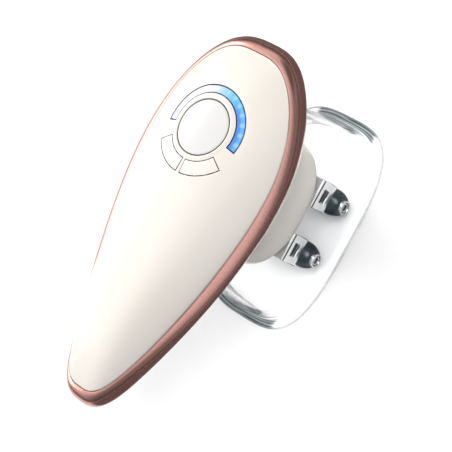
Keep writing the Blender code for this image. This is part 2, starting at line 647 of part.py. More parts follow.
HX = NECK_X + 23.4
place("air_hose", tube(((HX, 0, MOTOR_Z - 5.5), (HX + 1.8, 0, MOTOR_Z - 5.5),
                        (HX + 4.2, 0, MOTOR_Z - 8.0), (HX + 4.4, 0, MOTOR_Z - 12.0),
                        (HX + 2.6, 0, PORT_Z + 1.2), (HX - 1.0, 0, PORT_Z),
                        (NECK_X + 14.0, 0, PORT_Z), (NECK_X + 7.4, 0, PORT_Z)), 1.5, 2.5,
                       8, 2), RUBBER, 60)
place("vent_hose", tube(((PANEL_X, 0, 78.6), (PANEL_X, 0, 75.5), (PANEL_X, 2.0, 72.6),
                         (PANEL_X, 7.0, 71.6), (PANEL_X, 12.5, 71.2), (PANEL_X, 15.6, 68.0),
                         (PANEL_X, 15.6, 56.0), (PANEL_X - 0.5, 15.6, 45.0),
                         (PANEL_X - 4.0, 15.4, 39.0), (PANEL_X - 10.0, 15.6, PORT_Z),
                         (NECK_X + 2.6, 14.6, PORT_Z), (NECK_X, 11.4, PORT_Z),
                         (NECK_X, 7.4, PORT_Z)), 1.5, 2.4, 8, 2),
      RUBBER, 60)

# ---- battery and charging socket ----------------------------------------------------------------------
for s, tag in ((1, "left"), (-1, "right")):
    y = s * (CELL_R + 0.4)
    h = CELL_LEN / 2
    place("battery_cell_" + tag, turn([(CELL_R - 0.6, -h), (CELL_R, -h + 0.6), (CELL_R, h - 1.6),
                                       (CELL_R - 0.6, h - 1.0), (2.6, h - 1.0), (2.6, h)], 24, "X",
                                      (CELL_X, y, CELL_Z)), CELLWRAP, 30, (CELL_X, y, CELL_Z))
place("battery_tray", block(CELL_X - CELL_LEN / 2 - 0.5, CELL_X + CELL_LEN / 2 + 2.5,
                            -CELL_R - 3.0, CELL_R + 3.0, CELL_Z - CELL_R - 2.4,
                            CELL_Z - CELL_R - GAP), WHITE, 30)

# ---- screws, their pillars and bosses, and the charging socket -----------------------------------------
def underside(x, y):
    """Height of the bottom shell's outside over (x, y)."""
    rings_ = [belly(t / 20, 0.0) for t in range(21)]
    vs = [p for ring in rings_ for p in ring]
    fs = []
    for i in range(20):
        for j in range(N):
            k = (j + 1) % N
            fs.append((i * N + j, i * N + k, (i + 1) * N + k, (i + 1) * N + j))
    hit = BVHTree.FromPolygons(vs, fs).ray_cast(Vector((x, y, 0.0)), Vector((0, 0, 1)))
    return hit[0].z


PILLAR_TOP = 85.0
for tag, x, y in (("head_left", SCREW_HEAD_X, SCREW_HEAD_Y), ("head_right", SCREW_HEAD_X, -SCREW_HEAD_Y),
                  ("tail_left", SCREW_TAIL_X, SCREW_TAIL_Y),
                  ("tail_right", SCREW_TAIL_X, -SCREW_TAIL_Y)):
    around = [(x + 4.4 * math.cos(k), y + 4.4 * math.sin(k)) for k in range(7)]
    z = max(underside(u, v) for u, v in around) + 0.2
    roof = min(dome_z(u, v) for u, v in around) - 0.3
    boolean(bottom, cutter("pillar_" + tag, turn([(4.4, z), (4.4, PILLAR_TOP)], 20, "Z",
                                                 (x, y, 0))), "UNION")
    boolean(bottom, cutter("sink_" + tag, turn([(3.0, 55.0), (3.0, PILLAR_TOP - 2.4), (1.5, PILLAR_TOP - 2.4),
                                                (1.5, PILLAR_TOP + 4)], 20, "Z", (x, y, 0))))
    boolean(top, cutter("boss_" + tag, turn([(3.0, PILLAR_TOP + GAP), (3.0, roof)], 16,
                                            "Z", (x, y, 0))), "UNION")
    boolean(top, cutter("pilot_" + tag, turn([(1.2, PILLAR_TOP - 1), (1.2, PILLAR_TOP + 9)], 14, "Z",
                                             (x, y, 0))))
    place("screw_" + tag, turn([(2.6, PILLAR_TOP - 4.6), (2.6, PILLAR_TOP - 2.7),
                                (0.95, PILLAR_TOP - 2.7), (0.95, PILLAR_TOP + 7.5)], 14, "Z",
                               (x, y, 0)), STEEL, 30)

z = underside(JACK_X, 0.0)
boolean(bottom, cutter("jack_window", block(JACK_X - 3.3, JACK_X + 3.3, -4.7, 4.7, z - 6, z + 8)))
jack = place("charge_jack", block(JACK_X - 3.0, JACK_X + 3.0, -4.4, 4.4, z + 0.8, z + 7.6), BLACK, 30)
boolean(jack, cutter("jack_slot", block(JACK_X - 1.3, JACK_X + 1.3, -3.6, 3.6, z - 5, z + 6.0)))

print("objects", len([o for o in bpy.data.objects if not o.hide_render]))
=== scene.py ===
# %% [markdown]
# # A cordless suction massager with a clear cup and free rollers
# The massager is a teardrop grip on a short neck. Under the neck sits a clear cup that is
# sealed against the skin, and two pairs of small rollers knead the fold that is drawn up.
# This lesson models its outside and gives every piece a finish. The engineering model is
# loaded first: it fixes the size, so the pieces made here are drawn to the same numbers.

# %% Load the frame
import json
import math

import bmesh
import bpy
from mathutils import Matrix, Vector

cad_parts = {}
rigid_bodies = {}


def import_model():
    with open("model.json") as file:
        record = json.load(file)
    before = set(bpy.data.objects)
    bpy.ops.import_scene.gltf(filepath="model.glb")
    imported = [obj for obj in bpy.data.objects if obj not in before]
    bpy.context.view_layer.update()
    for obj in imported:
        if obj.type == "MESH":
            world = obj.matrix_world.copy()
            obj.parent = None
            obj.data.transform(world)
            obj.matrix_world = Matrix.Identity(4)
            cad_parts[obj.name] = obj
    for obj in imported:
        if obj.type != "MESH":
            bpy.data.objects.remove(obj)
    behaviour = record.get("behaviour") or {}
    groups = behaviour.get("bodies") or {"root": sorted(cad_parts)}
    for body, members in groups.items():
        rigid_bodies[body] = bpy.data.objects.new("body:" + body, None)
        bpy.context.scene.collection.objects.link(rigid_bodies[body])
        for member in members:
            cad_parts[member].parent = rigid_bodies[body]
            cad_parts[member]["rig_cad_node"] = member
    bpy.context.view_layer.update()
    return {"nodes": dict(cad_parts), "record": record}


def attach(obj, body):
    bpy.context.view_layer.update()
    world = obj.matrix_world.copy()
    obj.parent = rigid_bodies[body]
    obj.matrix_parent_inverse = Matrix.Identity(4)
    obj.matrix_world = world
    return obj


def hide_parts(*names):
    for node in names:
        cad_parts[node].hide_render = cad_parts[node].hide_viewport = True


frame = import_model()

# %% [markdown]
# ## Units and the place of a piece
# Moulded parts are easiest to draw in millimetres from the middle of the cup, because the
# cup, the neck and the rollers are all centred there. Each finished piece is moved 30 mm
# forward to the frame's origin and scaled to metres inside its mesh, so its object stays
# at the origin, unturned and unscaled, and a pattern on Object coordinates stays put.

# %% From drawing to frame
TO_FRAME = Matrix.Scale(0.001, 4) @ Matrix.Translation((30.0, 0.0, 0.0))


def finish_piece(name, bm, body, node, sharp=38.0, turn_out=True):
    """Closes the mesh, makes it an object on its body and hides the plain node."""
    bmesh.ops.remove_doubles(bm, verts=bm.verts, dist=0.0008)
    if turn_out:
        bmesh.ops.recalc_face_normals(bm, faces=bm.faces)
    bmesh.ops.transform(bm, matrix=TO_FRAME, verts=bm.verts)
    mesh = bpy.data.meshes.new(name)
    bm.to_mesh(mesh)
    bm.free()
    mesh.shade_smooth()
    mesh.set_sharp_from_angle(angle=math.radians(sharp))
    piece = bpy.data.objects.new(name, mesh)
    bpy.context.scene.collection.objects.link(piece)
    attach(piece, body)
    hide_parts(*([node] if isinstance(node, str) else node))
    print(name, len(mesh.polygons), "faces")
    return piece


def round_edges(piece, width, segments=3, angle=35.0):
    """A live bevel in millimetres on every edge sharper than the angle."""
    m = piece.modifiers.new("rounded edges", "BEVEL")
    m.width, m.segments, m.profile = width * 0.001, segments, 0.5
    m.limit_method, m.angle_limit = "ANGLE", math.radians(angle)
    m.harden_normals = False
    return piece


def give_wall(piece, thickness):
    """A live Solidify that grows the wall inward from the outside skin; its inner and rim faces
    take the piece's second finish, which on the top shell is painted gap shade.
    """
    m = piece.modifiers.new("moulded wall", "SOLIDIFY")
    m.thickness, m.offset, m.use_even_offset = thickness * 0.001, -1.0, True
    m.material_offset, m.material_offset_rim = 1, 1
    return piece


# %% [markdown]
# ## Lofting with operators
# A teardrop has no single axis to spin about, so the large shells are lofted: one circle
# is made, its points are moved onto the first outline, and its edge is extruded again and
# again, each time onto the next outline. Extruding keeps the columns of points in line,
# which gives clean quads that reflect light smoothly. Round parts are spun instead.

# %% Loft and spin helpers
def first_ring(bm, points):
    ring = bmesh.ops.create_circle(bm, segments=len(points), radius=1.0)["verts"]
    for v, p in zip(ring, points):
        v.co = p
    return ring


def next_ring(bm, ring, points):
    """Extrudes a closed ring of edges and puts the new ring on the points."""
    edges = [bm.edges.get((a, b)) for a, b in zip(ring, ring[1:] + ring[:1])]
    made = bmesh.ops.extrude_edge_only(bm, edges=edges)["geom"]
    fresh = {g for g in made if isinstance(g, bmesh.types.BMVert)}
    out = []
    for v, p in zip(ring, points):
        w = next(e.other_vert(v) for e in v.link_edges
                 if e.other_vert(v) in fresh and (e.other_vert(v).co - v.co).length < 1e-9)
        out.append((w, p))
    for w, p in out:
        w.co = p
    return [w for w, _ in out]


def loft(rings, cap_start=False, cap_end=False):
    bm = bmesh.new()
    ring = start = first_ring(bm, rings[0])
    for points in rings[1:]:
        ring = next_ring(bm, ring, points)
    for wanted, end in ((cap_start, start), (cap_end, ring)):
        if wanted:
            edges = [bm.edges.get((a, b)) for a, b in zip(end, end[1:] + end[:1])]
            bmesh.ops.edgeloop_fill(bm, edges=edges)
    return bm


def face_outward(bm, upward):
    """Turns an open skin so that, taken together, its faces look up or down."""
    bm.normal_update()
    lift = sum(f.normal.z * f.calc_area() for f in bm.faces)
    if (lift > 0) != upward:
        bmesh.ops.reverse_faces(bm, faces=bm.faces)


def spun(profile, steps=64, axis="Z", at=(0.0, 0.0, 0.0), shut=False):
    """Spins (radius, height) pairs into a round piece; shut joins the profile's ends."""
    bm = bmesh.new()
    if shut:
        profile = list(profile) + [profile[0]]
    vs = [bm.verts.new((r, 0.0, z)) for r, z in profile]
    es = [bm.edges.new(pair) for pair in zip(vs, vs[1:])]
    bmesh.ops.spin(bm, geom=vs + es, cent=(0, 0, 0), axis=(0, 0, 1), angle=2 * math.pi,
                   steps=steps, use_merge=True, use_duplicate=False)
    turn = {"Z": Matrix(), "X": Matrix.Rotation(math.pi / 2, 4, "Y"),
            "Y": Matrix.Rotation(-math.pi / 2, 4, "X")}[axis]
    bmesh.ops.transform(bm, matrix=Matrix.Translation(at) @ turn, verts=bm.verts)
    return bm


def brick(x0, x1, y0, y1, z0, z1):
    bm = bmesh.new()
    m = Matrix.Translation(((x0 + x1) / 2, (y0 + y1) / 2, (z0 + z1) / 2)) @ \
        Matrix.Diagonal((x1 - x0, y1 - y0, z1 - z0, 1.0))
    bmesh.ops.create_cube(bm, size=1.0, matrix=m)
    return bm


def join(bm, other):
    mesh = bpy.data.meshes.new("joining")
    other.to_mesh(mesh)
    other.free()
    bm.from_mesh(mesh)
    bpy.data.meshes.remove(mesh)
    return bm


def carve(piece, tool):
    """Cuts the tool's shape (drawn in millimetres) out of a piece, once and for all."""
    bmesh.ops.recalc_face_normals(tool, faces=tool.faces)
    bmesh.ops.transform(tool, matrix=TO_FRAME, verts=tool.verts)
    mesh = bpy.data.meshes.new("tool")
    tool.to_mesh(mesh)
    tool.free()
    ob = bpy.data.objects.new("tool", mesh)
    bpy.context.scene.collection.objects.link(ob)
    m = piece.modifiers.new("cut", "BOOLEAN")
    m.operation, m.solver, m.object = "DIFFERENCE", "EXACT", ob
    bpy.context.view_layer.update()
    done = bpy.data.meshes.new_from_object(piece.evaluated_get(
        bpy.context.evaluated_depsgraph_get()))
    piece.modifiers.remove(m)
    piece.data = done
    bpy.data.objects.remove(ob)
    return piece


# %% [markdown]
# ## The teardrop's laws
# The plan shape is an egg: a superellipse whose width is scaled by a short polynomial, so
# the head is broad and the tail runs to a rounded point. Two such outlines are used, one
# for the painted dome and a wider one for the metal band, and the height of the dome over
# its edge follows a crown line from head to tail.

# %% Outlines and heights
BODY_LENGTH, HEAD_TIP = 205.0, 72.5
TAIL_TIP = HEAD_TIP - BODY_LENGTH
DOME_HEAD, DOME_TAIL = HEAD_TIP - 7.7, TAIL_TIP + 7.6
GAP, WALL = 0.3, 2.2
BAND_DROP = 3.0
PANEL_X = 19.3
BUTTON_R = 14.7


def along(x, head, tail):
    """Lengthwise position, +1 at the head and -1 at the tail."""
    return max(-1.0, min(1.0, (x - (head + tail) / 2) / ((head - tail) / 2)))


def egg(c, half, power, k1, k2, k3, k4):
    s = max(0.0, 1.0 - abs(c) ** power) ** (1.0 / power)
    return half * s * (1 + k1 * c + k2 * c * c + k3 * c ** 3 + k4 * c ** 4)


def band_half(c):
    return egg(c, 45.3, 2.925, 0.370, -0.373, -0.202, 0.079)


def dome_half(c):
    return egg(c, 38.8, 3.351, 0.412, -0.271, -0.238, -0.046)


def edge_z(x):
    c = along(x, DOME_HEAD, DOME_TAIL)
    return 95.0 + 0.9 * c + 7.0 * c * c


def widest_z(x):
    c = along(x, HEAD_TIP, TAIL_TIP)
    return 92.0 + 0.7 * c + 1.9 * c * c


CREST_X, CREST_RISE = -45.0, 19.2


def dome_z(x, y):
    """Height of the dome's skin: the crown line fades to the edge across the width."""
    if x > CREST_X:
        t, power = (x - CREST_X) / (DOME_HEAD - CREST_X), 3.663
    else:
        t, power = (CREST_X - x) / (CREST_X - DOME_TAIL), 2.390
    crown = CREST_RISE * (1 - min(1.0, t) ** power)
    c = along(x, DOME_HEAD, DOME_TAIL)
    w = (c + 1) / 2
    p, q = 2.09 * w + 3.6 * (1 - w), w + 1.25 * (1 - w)
    r = min(1.0, abs(y) / max(0.001, dome_half(c)))
    return edge_z(x) + crown * (1 - r ** p) ** (1 / q)


def even_steps(points, n):
    """n points at equal steps along a closed line."""
    run = [0.0]
    for a, b in zip(points, points[1:] + points[:1]):
        run.append(run[-1] + (b - a).length)
    out, j = [], 0
    for i in range(n):
        t = run[-1] * i / n
        while run[j + 1] < t:
            j += 1
        a, b = points[j], points[(j + 1) % len(points)]
        out.append(a.lerp(b, (t - run[j]) / max(1e-9, run[j + 1] - run[j])))
    return out


def egg_line(half, head, tail, n):
    pts = []
    for i in range(2880):
        t = 2 * math.pi * i / 2880
        c = math.cos(t)
        pts.append(Vector(((head + tail) / 2 + (head - tail) / 2 * c,
                           math.copysign(half(c), math.sin(t)) if i else 0.0, 0.0)))
    return even_steps(pts, n)


def moved_in(points, by):
    out, n = [], len(points)
    for i, p in enumerate(points):
        t = points[(i + 1) % n] - points[i - 1]
        out.append(Vector((p.x - t.y / t.length * by, p.y + t.x / t.length * by, p.z)))
    return out


def oval(half_x, half_y, power, z, n, cx=0.0):
    pts = []
    for i in range(1440):
        t = 2 * math.pi * i / 1440
        c, s = math.cos(t), math.sin(t)
        pts.append(Vector((cx + half_x * math.copysign(abs(c) ** (2 / power), c),
                           half_y * math.copysign(abs(s) ** (2 / power), s), z)))
    return even_steps(pts, n)


def mix_rings(a, b, t):
    return [p.lerp(q, t) for p, q in zip(a, b)]


def lifted(points, heights, dz=0.0):
    return [Vector((p.x, p.y, h + dz)) for p, h in zip(points, heights)]


WINDOW_HALF, KEY_MID, KEY_HALF = 100.5, 151.5, 25.5
WINDOW_SLOT, KEY_SLOT = (18.1, 23.1), (17.7, 25.5)
SLACK = math.degrees(GAP / 20.0)
HALF_TURN = ((0.0, WINDOW_HALF + SLACK, 58), (WINDOW_HALF + SLACK, KEY_MID - KEY_HALF - SLACK, 14),
             (KEY_MID - KEY_HALF - SLACK, KEY_MID + KEY_HALF + SLACK, 30),
             (KEY_MID + KEY_HALF + SLACK, 180.0, 2))
bearings = [a + (b - a) * i / n for a, b, n in HALF_TURN for i in range(n)]
bearings += [180.0] + [360.0 - a for a in reversed(bearings[1:])]
COLUMNS = len(bearings)
dome_line = egg_line(dome_half, DOME_HEAD, DOME_TAIL, COLUMNS)
band_line = egg_line(band_half, HEAD_TIP, TAIL_TIP, COLUMNS)
edge_heights = [edge_z(p.x) for p in dome_line]
wide_heights = [widest_z(p.x) for p in band_line]
print("columns round the teardrop", COLUMNS)

# %% [markdown]
# ## The pearl top shell
# The real top is one injection-moulded dome, painted pearl, with a round well for the
# button, an arc slot for the light window and two arc slots for the keys. The slots are
# not cut with booleans here: the loft starts as circles round the button, its columns lie
# exactly on the slots' ends, and the faces over a slot are simply deleted. That keeps the
# reflections round the slots unbroken. A raised collar frames the button.

# %% Top shell
def polar(radius, rise=0.0):
    """A ring round the button on the dome; radius is a number or a law of the bearing."""
    out = []
    for a in bearings:
        r = radius(a) if callable(radius) else radius
        x, y = PANEL_X + r * math.cos(math.radians(a)), r * math.sin(math.radians(a))
        out.append(Vector((x, y, dome_z(x, y) + rise)))
    return out


def slot_share(a):
    """0 over the window's slot and 1 over the keys' slots, with a soft change between."""
    a = min(a, 360.0 - a)
    t = (a - WINDOW_HALF - SLACK) / (KEY_MID - KEY_HALF - WINDOW_HALF - 2 * SLACK)
    t = max(0.0, min(1.0, t))
    return t * t * (3 - 2 * t)


def slot_radius(t):
    """Radius at the share t of the slot's width, from its inner to its outer side."""
    def law(a):
        s = slot_share(a)
        inner = WINDOW_SLOT[0] + s * (KEY_SLOT[0] - WINDOW_SLOT[0])
        outer = WINDOW_SLOT[1] + s * (KEY_SLOT[1] - WINDOW_SLOT[1])
        return inner + (outer - inner) * t
    return law


hole = BUTTON_R + GAP
rings = [polar(hole, -0.30), polar(hole + 0.12, -0.02), polar(hole + 0.35, 0.16),
         polar(hole + 0.8, 0.24), polar(hole + 1.4, 0.22), polar(hole + 1.95, 0.10),
         polar(hole + 2.3, 0.0)]
rings += [polar(slot_radius(t)) for t in (0.0, 0.25, 0.5, 0.75, 1.0)]
seat = moved_in(dome_line, 0.35)
start = polar(26.6)
for k in range(27):
    u = k / 26
    s = 1 - (1 - u) ** 1.9
    ring = mix_rings(start, seat, s)
    rings.append([Vector((p.x, p.y, dome_z(p.x, p.y))) for p in ring])
rings.append(lifted(seat, wide_heights, GAP))
bm = loft(rings)
bm.faces.ensure_lookup_table()


def inside(r, slot):
    return slot[0] + 0.02 < r < slot[1] - 0.05


def over_slot(face):
    c = face.calc_center_median() - Vector((PANEL_X, 0, 0))
    r, a = math.hypot(c.x, c.y), abs(math.degrees(math.atan2(c.y, c.x)))
    key = abs(a - KEY_MID) < KEY_HALF + SLACK - 0.05 and inside(r, KEY_SLOT)
    return key or (a < WINDOW_HALF + SLACK - 0.05 and inside(r, WINDOW_SLOT))


bmesh.ops.delete(bm, geom=[f for f in bm.faces if over_slot(f)], context="FACES")
face_outward(bm, upward=True)
top = finish_piece("pearl_top", bm, "housing", "top_shell", 50.0, turn_out=False)
give_wall(top, WALL)
round_edges(top, 0.22, 2, 48.0)

# %% [markdown]
# ## The plated band
# A rose-plated trim ring runs round the whole body between the two shells. Its section is
# a quarter of an ellipse that ends in a short drop, so it is lofted as a closed hoop.

# %% Band
def band_ring(t):
    return mix_rings(dome_line, band_line, t)


rings = []
for k in range(15):
    a = math.radians(90 * k / 14)
    rings.append(lifted(band_ring(math.sin(a)),
                        [e + (w - e) * (1 - math.cos(a)) for e, w in
                         zip(edge_heights, wide_heights)]))
rings += [lifted(band_ring(t), wide_heights, -BAND_DROP * d)
          for t, d in ((0.992, 0.2), (0.965, 0.42), (0.925, 0.64), (0.87, 0.85), (0.80, 1.0))]
rings += [lifted(band_ring(0.4), wide_heights, -BAND_DROP),
          lifted(band_ring(0.0), wide_heights, -BAND_DROP), rings[0]]
band = finish_piece("rose_band", loft(rings), "housing", "trim_band", 45.0)
round_edges(band, 0.3, 3, 45.0)

# %% [markdown]
# ## The underside and neck
# The lower shell is a bowl that sweeps in to an oval neck. The neck goes down into the
# cup and closes with a floor that has the suction port in its middle. The bowl is lofted
# as one skin, and Solidify gives it its wall. The screw wells and the charging window
# are carved afterwards, with a short tube welded in behind each well.

# %% Underside
NECK_X, NECK_FLOOR, BELLY_Z, PORT_R = 1.0, 32.0, 72.0, 5.0
NECK_HALF_X, NECK_HALF_Y, NECK_POWER = 36.0, 27.0, 2.4
rim_heights = [w - BAND_DROP - 0.35 for w in wide_heights]


def neck(z, grow=0.0):
    return oval(NECK_HALF_X + grow, NECK_HALF_Y + grow, NECK_POWER, z, COLUMNS, NECK_X)


def belly(t):
    out = []
    for p, q, h in zip(band_ring(0.60), neck(0.0, 5.0), rim_heights):
        m = 1.5 - 0.15 * max(0.0, min(1.0, (10.0 - p.x) / 110.0))
        f = (1 - (1 - t) ** m) ** (1 / m)
        out.append(Vector((p.x + (q.x - p.x) * t, p.y + (q.y - p.y) * t,
                           h + (BELLY_Z - h) * f)))
    return out


rings = [lifted(moved_in(dome_line, 0.35), rim_heights)]
rings += [belly(t) for t in (0, 0.004, 0.015, 0.035, 0.065, 0.1, 0.14, 0.19, 0.25, 0.32, 0.4,
                             0.49, 0.58, 0.67, 0.76, 0.84, 0.91, 0.96, 1.0)]
rings += [neck(z, g) for z, g in ((71.85, 4.1), (71.5, 3.1), (70.9, 2.1), (69.9, 1.2),
                                  (68.4, 0.55), (66.6, 0.15), (64.75, 0), (64.6, -1.4),
                                  (62.0, -1.4), (61.85, 0), (58, 0), (50, 0),
                                  (43, -0.15), (38, -0.6), (35.6, -1.1), (33.9, -1.9),
                                  (32.7, -3.1), (32.1, -4.6), (32.0, -6.4), (32.0, -12))]
rings += [oval(r, r, 2.0, NECK_FLOOR, COLUMNS, NECK_X) for r in (8.5, PORT_R + 0.6)]
rings += [oval(PORT_R, PORT_R, 2.0, NECK_FLOOR + 0.5, COLUMNS, NECK_X)]
bm = loft(rings)
face_outward(bm, upward=False)
under = finish_piece("pearl_underside", bm, "housing", "bottom_shell", 50.0, turn_out=False)
give_wall(under, WALL)

# %% Screw wells and charging window
SCREWS = [(50.0, 16.0), (50.0, -16.0), (-46.0, 23.0), (-46.0, -23.0)]
JACK_X, PILLAR_TOP = -108.0, 85.0
tool = brick(JACK_X - 3.3, JACK_X + 3.3, -4.7, 4.7, 70.0, 96.0)
for x, y in SCREWS:
    join(tool, spun([(0.0, 55.0), (3.0, 55.0), (3.0, 96.0), (0.0, 96.0)], 32, "Z", (x, y, 0)))
bmesh.ops.remove_doubles(tool, verts=tool.verts, dist=0.0008)


def skin_height(x, y):
    """Height of the underside's outside over a point of the plan, in millimetres."""
    p = TO_FRAME @ Vector((x, y, 40.0))
    hit, place, _, _ = under.ray_cast(p, Vector((0, 0, 1)))
    return place.z * 1000.0 if hit else BELLY_Z


starts = [max(skin_height(x + 4.2 * math.cos(k), y + 4.2 * math.sin(k)) for k in range(7))
          for x, y in SCREWS]
carve(under, tool)
under.modifiers.clear()
bm = bmesh.new()
bm.from_mesh(under.data)
for (x, y), z in zip(SCREWS, starts):
    tube = spun([(3.0, z + 0.3), (4.3, z + 0.3), (4.3, PILLAR_TOP), (1.5, PILLAR_TOP),
                 (1.5, PILLAR_TOP - 2.4), (3.0, PILLAR_TOP - 2.4)], 32, "Z", (x, y, 0), True)
    bmesh.ops.remove_doubles(tube, verts=tube.verts, dist=0.0008)
    bmesh.ops.recalc_face_normals(tube, faces=tube.faces)
    bmesh.ops.transform(tube, matrix=TO_FRAME, verts=tube.verts)
    join(bm, tube)
bm.to_mesh(under.data)
bm.free()
under.data.shade_smooth()
under.data.set_sharp_from_angle(angle=math.radians(42))
round_edges(under, 0.2, 2, 52.0)
print("wells start at", [round(z, 1) for z in starts])

# %% [markdown]
# ## Light window and keys
# Both are arcs round the button, so one small cross-section is spun part of a turn and
# its ends are filled. The top of the section is then laid on the dome's own height law,
# which makes the lens sit flush and the keys stand a hair proud, as moulded keys do.

# %% Arc pieces
def arc_piece(r0, r1, a0, a1, steps, low, rises):
    """A spun bar from r0 to r1; its crown has one rise over the dome for each point."""
    bm = bmesh.new()
    n = len(rises)
    across = [r0 + (r1 - r0) * i / (n - 1) for i in range(n)]
    section = [(r1, -1.0), (r0, -1.0)] + [(r, float(i)) for i, r in enumerate(across)]
    vs = [bm.verts.new((r, 0.0, z)) for r, z in section]
    es = [bm.edges.new((a, b)) for a, b in zip(vs, vs[1:] + vs[:1])]
    bmesh.ops.rotate(bm, matrix=Matrix.Rotation(math.radians(a0), 3, "Z"), verts=bm.verts)
    end = bmesh.ops.spin(bm, geom=vs + es, cent=(0, 0, 0), axis=(0, 0, 1),
                         angle=math.radians(a1 - a0), steps=steps)["geom_last"]
    bmesh.ops.contextual_create(bm, geom=es)
    bmesh.ops.contextual_create(bm, geom=[g for g in end if isinstance(g, bmesh.types.BMEdge)])
    bmesh.ops.translate(bm, vec=(PANEL_X, 0, 0), verts=bm.verts)
    for v in bm.verts:
        lift = -low if v.co.z < -0.5 else rises[round(v.co.z)]
        v.co.z = dome_z(v.co.x, v.co.y) + lift
    return bm


bm = arc_piece(WINDOW_SLOT[0] + GAP, WINDOW_SLOT[1] - GAP, -WINDOW_HALF, WINDOW_HALF, 110, 3.2,
               (-0.2, -0.06, 0.0, 0.02, 0.0, -0.06, -0.2))
lens = finish_piece("light_lens", bm, "housing", "led_window", 40.0)
round_edges(lens, 0.15, 2)
keys = []
for tag, side in (("power", 1), ("light", -1)):
    a0, a1 = sorted((side * (KEY_MID - KEY_HALF), side * (KEY_MID + KEY_HALF)))
    bm = arc_piece(KEY_SLOT[0] + GAP, KEY_SLOT[1] - GAP, a0, a1, 34, 2.6,
                   (0.1, 0.2, 0.25, 0.27, 0.27, 0.25, 0.2, 0.1))
    cap = finish_piece(tag + "_key_cap", bm, tag + "_key_body", tag + "_key", 40.0)
    keys.append(round_edges(cap, 0.35, 3))

# %% [markdown]
# ## Release button
# The thumb button lets the air back in. Its face is slightly domed with a rolled rim and
# follows the slope of the shell, so it is lofted from circles laid on the dome. The loft
# starts at the stem, and a ring groove in the underside leaves room for the return spring
# when the button is pressed.

# %% Button
def button_ring(radius, rise):
    out = []
    for i in range(96):
        a = 2 * math.pi * i / 96
        x, y = PANEL_X + radius * math.cos(a), radius * math.sin(a)
        out.append(Vector((x, y, dome_z(x, y) + rise)))
    return out


R = BUTTON_R
SPRING_ROOM = (7.2, 9.8)
law = [(SPRING_ROOM[0], -4.1), (SPRING_ROOM[0], -2.1), (SPRING_ROOM[1], -2.1),
       (SPRING_ROOM[1], -4.1), (R + 1.2, -4.1), (R + 1.2, -2.8), (R, -2.7), (R, -0.75),
       (R - 0.06, -0.45), (R - 0.22, -0.2), (R - 0.5, -0.02), (R - 0.9, 0.08), (R - 1.4, 0.12),
       (R - 2.1, 0.12), (R - 3.4, 0.16), (R - 5.6, 0.28), (R - 8.2, 0.38), (R - 10.8, 0.46),
       (R - 12.8, 0.5), (R - 14.2, 0.52)]
stem = [oval(3.0, 3.0, 2.0, z, 96, PANEL_X) for z in (99.4, 109.4)]
bm = loft(stem + [button_ring(r, h) for r, h in law], True, True)
button = finish_piece("release_cap", bm, "release_button_body", "release_button", 40.0)

# %% [markdown]
# ## Clear cup
# The cup is one thick clear moulding: a collar that grips the neck, a shoulder, steep side
# walls and a rolled lip. Seen through its end walls the light bends several times, which
# gives the grey-green bands that make clear acrylic look solid. So it needs real wall
# thickness: the loft goes down the outside, under the lip, up the inside, and is closed.

# %% Cup and gasket
A, B, CUP_W, CUP_N = 62.4, 38.5, 3.0, 96
CUP_POWER, COLLAR_TOP = 3.4, 65.5


def cup(half_x, half_y, z, power=CUP_POWER):
    return oval(half_x, half_y, power, z, CUP_N, 0.0)


def collar(grow, z):
    return oval(NECK_HALF_X + grow, NECK_HALF_Y + grow, NECK_POWER, z, CUP_N, NECK_X)


# Each step of the wall: how far in along x and along y, its height, and its squareness.
WALL_LINE = ((4.4, 4.4, 3.4, 3.4), (5.2, 5.0, 9.0, 3.4), (6.2, 5.6, 18.0, 3.3),
             (8.2, 6.1, 29.0, 3.1), (11.6, 6.7, 40.0, 2.9), (17.0, 7.4, 50.0, 2.7))
rings = [cup(A - 3.2, B - 3.2, 0.0), cup(A - 1.0, B - 1.0, 0.0), cup(A - 0.2, B - 0.2, 0.35),
         cup(A, B, 1.0), cup(A, B, 1.9), cup(A - 0.4, B - 0.4, 2.6), cup(A - 1.6, B - 1.6, 2.95),
         cup(A - 3.4, B - 3.4, 3.0)]
rings += [cup(A - a, B - b, z, p) for a, b, z, p in WALL_LINE]
rings += [collar(0.35 + CUP_W, 57.0), collar(0.35 + CUP_W, 60.0),
          collar(0.25 + CUP_W, COLLAR_TOP - 0.5), collar(CUP_W - 0.1, COLLAR_TOP),
          collar(0.6, COLLAR_TOP), collar(0.35, COLLAR_TOP - 0.5), collar(0.35, 58.0),
          collar(0.35, 53.6)]
rings += [cup(A - a - CUP_W, B - b - CUP_W * (0.8 if b > 6.5 else 1.0), z - 1.5, p)
          for a, b, z, p in reversed(WALL_LINE[1:])]
rings += [cup(A - 7.2, B - 7.0, 3.0), cup(A - 6.6, B - 6.5, 0.9), cup(A - 5.6, B - 5.6, 0.05)]
clear = finish_piece("clear_cup_wall", loft(rings + [rings[0]]), "housing", "suction_cup", 80.0)
smooth = clear.modifiers.new("smooth", "SUBSURF")
clear.visible_shadow = False
smooth.levels = smooth.render_levels = 2

bead = [collar(-1.1, 62.3), collar(-0.45, 62.3), collar(-0.12, 62.6), collar(0.03, 63.1),
        collar(0.03, 63.5), collar(-0.12, 64.0), collar(-0.45, 64.3), collar(-1.1, 64.3)]
gasket = finish_piece("cup_gasket", loft(bead + [bead[0]]), "housing", "cup_seal", 45.0)

# %% [markdown]
# ## Roller carriers, rollers and hub rings
# Two polished brackets hang from the neck's floor. Each has a bearing web in the middle
# and an end plate with a small window on each side, and carries one axle with a roller on
# each half. The rollers are turned shapes with a tapered nose, held by a grooved hub ring.

